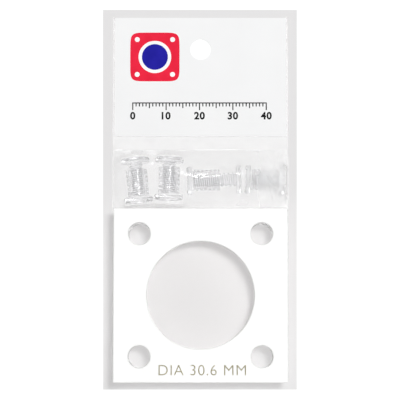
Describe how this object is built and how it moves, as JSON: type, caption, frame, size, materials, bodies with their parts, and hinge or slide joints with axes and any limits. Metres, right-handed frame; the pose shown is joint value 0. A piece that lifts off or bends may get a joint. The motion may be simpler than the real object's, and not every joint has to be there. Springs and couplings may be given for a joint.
{
  "type": "coin holder kit",
  "caption": "Screw-together square coin holder as a kit: white coin frame stacked on clear covers, with threaded binding screws in the pocket of a clear bag under a white hang header.",
  "frame": {"origin": "middle of the kit's outline on the resting plane, with the kit lying on its back", "axes": "+X to the right, +Y from the plates to the header, +Z out of the front face"},
  "size_m": [0.0524, 0.109, 0.0092],
  "materials": {
    "white_sheet": "satin",
    "clear_film": "gloss",
    "clear_plate": "polished",
    "white_plate": "gloss",
    "clear_fastener": "polished"
  },
  "bodies": {
    "bag": {"header_panel": "white_sheet", "back_film": "clear_film", "front_film": "clear_film", "pocket_film": "clear_film"},
    "back_cover": {"back_cover": "clear_plate"},
    "front_cover": {"front_cover": "clear_plate"},
    "coin_frame": {"coin_frame": "white_plate"},
    "screw_1": {"screw_1": "clear_fastener"},
    "screw_2": {"screw_2": "clear_fastener"},
    "screw_3": {"screw_3": "clear_fastener"},
    "screw_4": {"screw_4": "clear_fastener"},
    "post_1": {"post_1": "clear_fastener"},
    "post_2": {"post_2": "clear_fastener"},
    "post_3": {"post_3": "clear_fastener"},
    "post_4": {"post_4": "clear_fastener"}
  },
  "joints": [
    {"name": "back_cover_lift", "type": "slide", "parent": "bag", "child": "back_cover", "axis": [0, 0, 1], "range_m": [0, 0.03]},
    {"name": "front_cover_lift", "type": "slide", "parent": "back_cover", "child": "front_cover", "axis": [0, 0, 1], "range_m": [0, 0.03]},
    {"name": "coin_frame_lift", "type": "slide", "parent": "front_cover", "child": "coin_frame", "axis": [0, 0, 1], "range_m": [0, 0.03]},
    {"name": "post_1_draw", "type": "slide", "parent": "bag", "child": "post_1", "axis": [-0.9997, -0.0262, 0], "range_m": [-0.00469, 0.00031]},
    {"name": "screw_1_turn", "type": "hinge", "parent": "bag", "child": "screw_1", "pos_m": [0.01051, 0.00523, 0.00437], "axis": [0.9997, 0.0262, 0], "range_deg": [-1351, 91]},
    {"name": "post_2_draw", "type": "slide", "parent": "bag", "child": "post_2", "axis": [-0.999, 0.0436, 0], "range_m": [-0.0003125, 0.000625]},
    {"name": "screw_2_turn", "type": "hinge", "parent": "bag", "child": "screw_2", "pos_m": [0.02337, 0.00485, 0.00437], "axis": [0.999, -0.0436, 0], "range_deg": [-91, 181]},
    {"name": "post_3_draw", "type": "slide", "parent": "bag", "child": "post_3", "axis": [-0.0262, -0.9997, 0], "range_m": [-0.00125, 0.00125]},
    {"name": "screw_3_turn", "type": "hinge", "parent": "bag", "child": "screw_3", "pos_m": [-0.00917, 0.01023, 0.00437], "axis": [0.0262, 0.9997, 0], "range_deg": [-361, 361]},
    {"name": "post_4_draw", "type": "slide", "parent": "bag", "child": "post_4", "axis": [0.0872, -0.9962, 0], "range_m": [-0.00187, 0.00063]},
    {"name": "screw_4_turn", "type": "hinge", "parent": "bag", "child": "screw_4", "pos_m": [-0.01919, 0.00998, 0.00437], "axis": [-0.0872, 0.9962, 0], "range_deg": [-541, 181]}
  ],
  "couplings": [
    {"joint": "screw_1_turn", "follows": "post_1_draw", "rad_per_m": 5026.5},
    {"joint": "screw_2_turn", "follows": "post_2_draw", "rad_per_m": 5026.5},
    {"joint": "screw_3_turn", "follows": "post_3_draw", "rad_per_m": 5026.5},
    {"joint": "screw_4_turn", "follows": "post_4_draw", "rad_per_m": 5026.5}
  ]
}
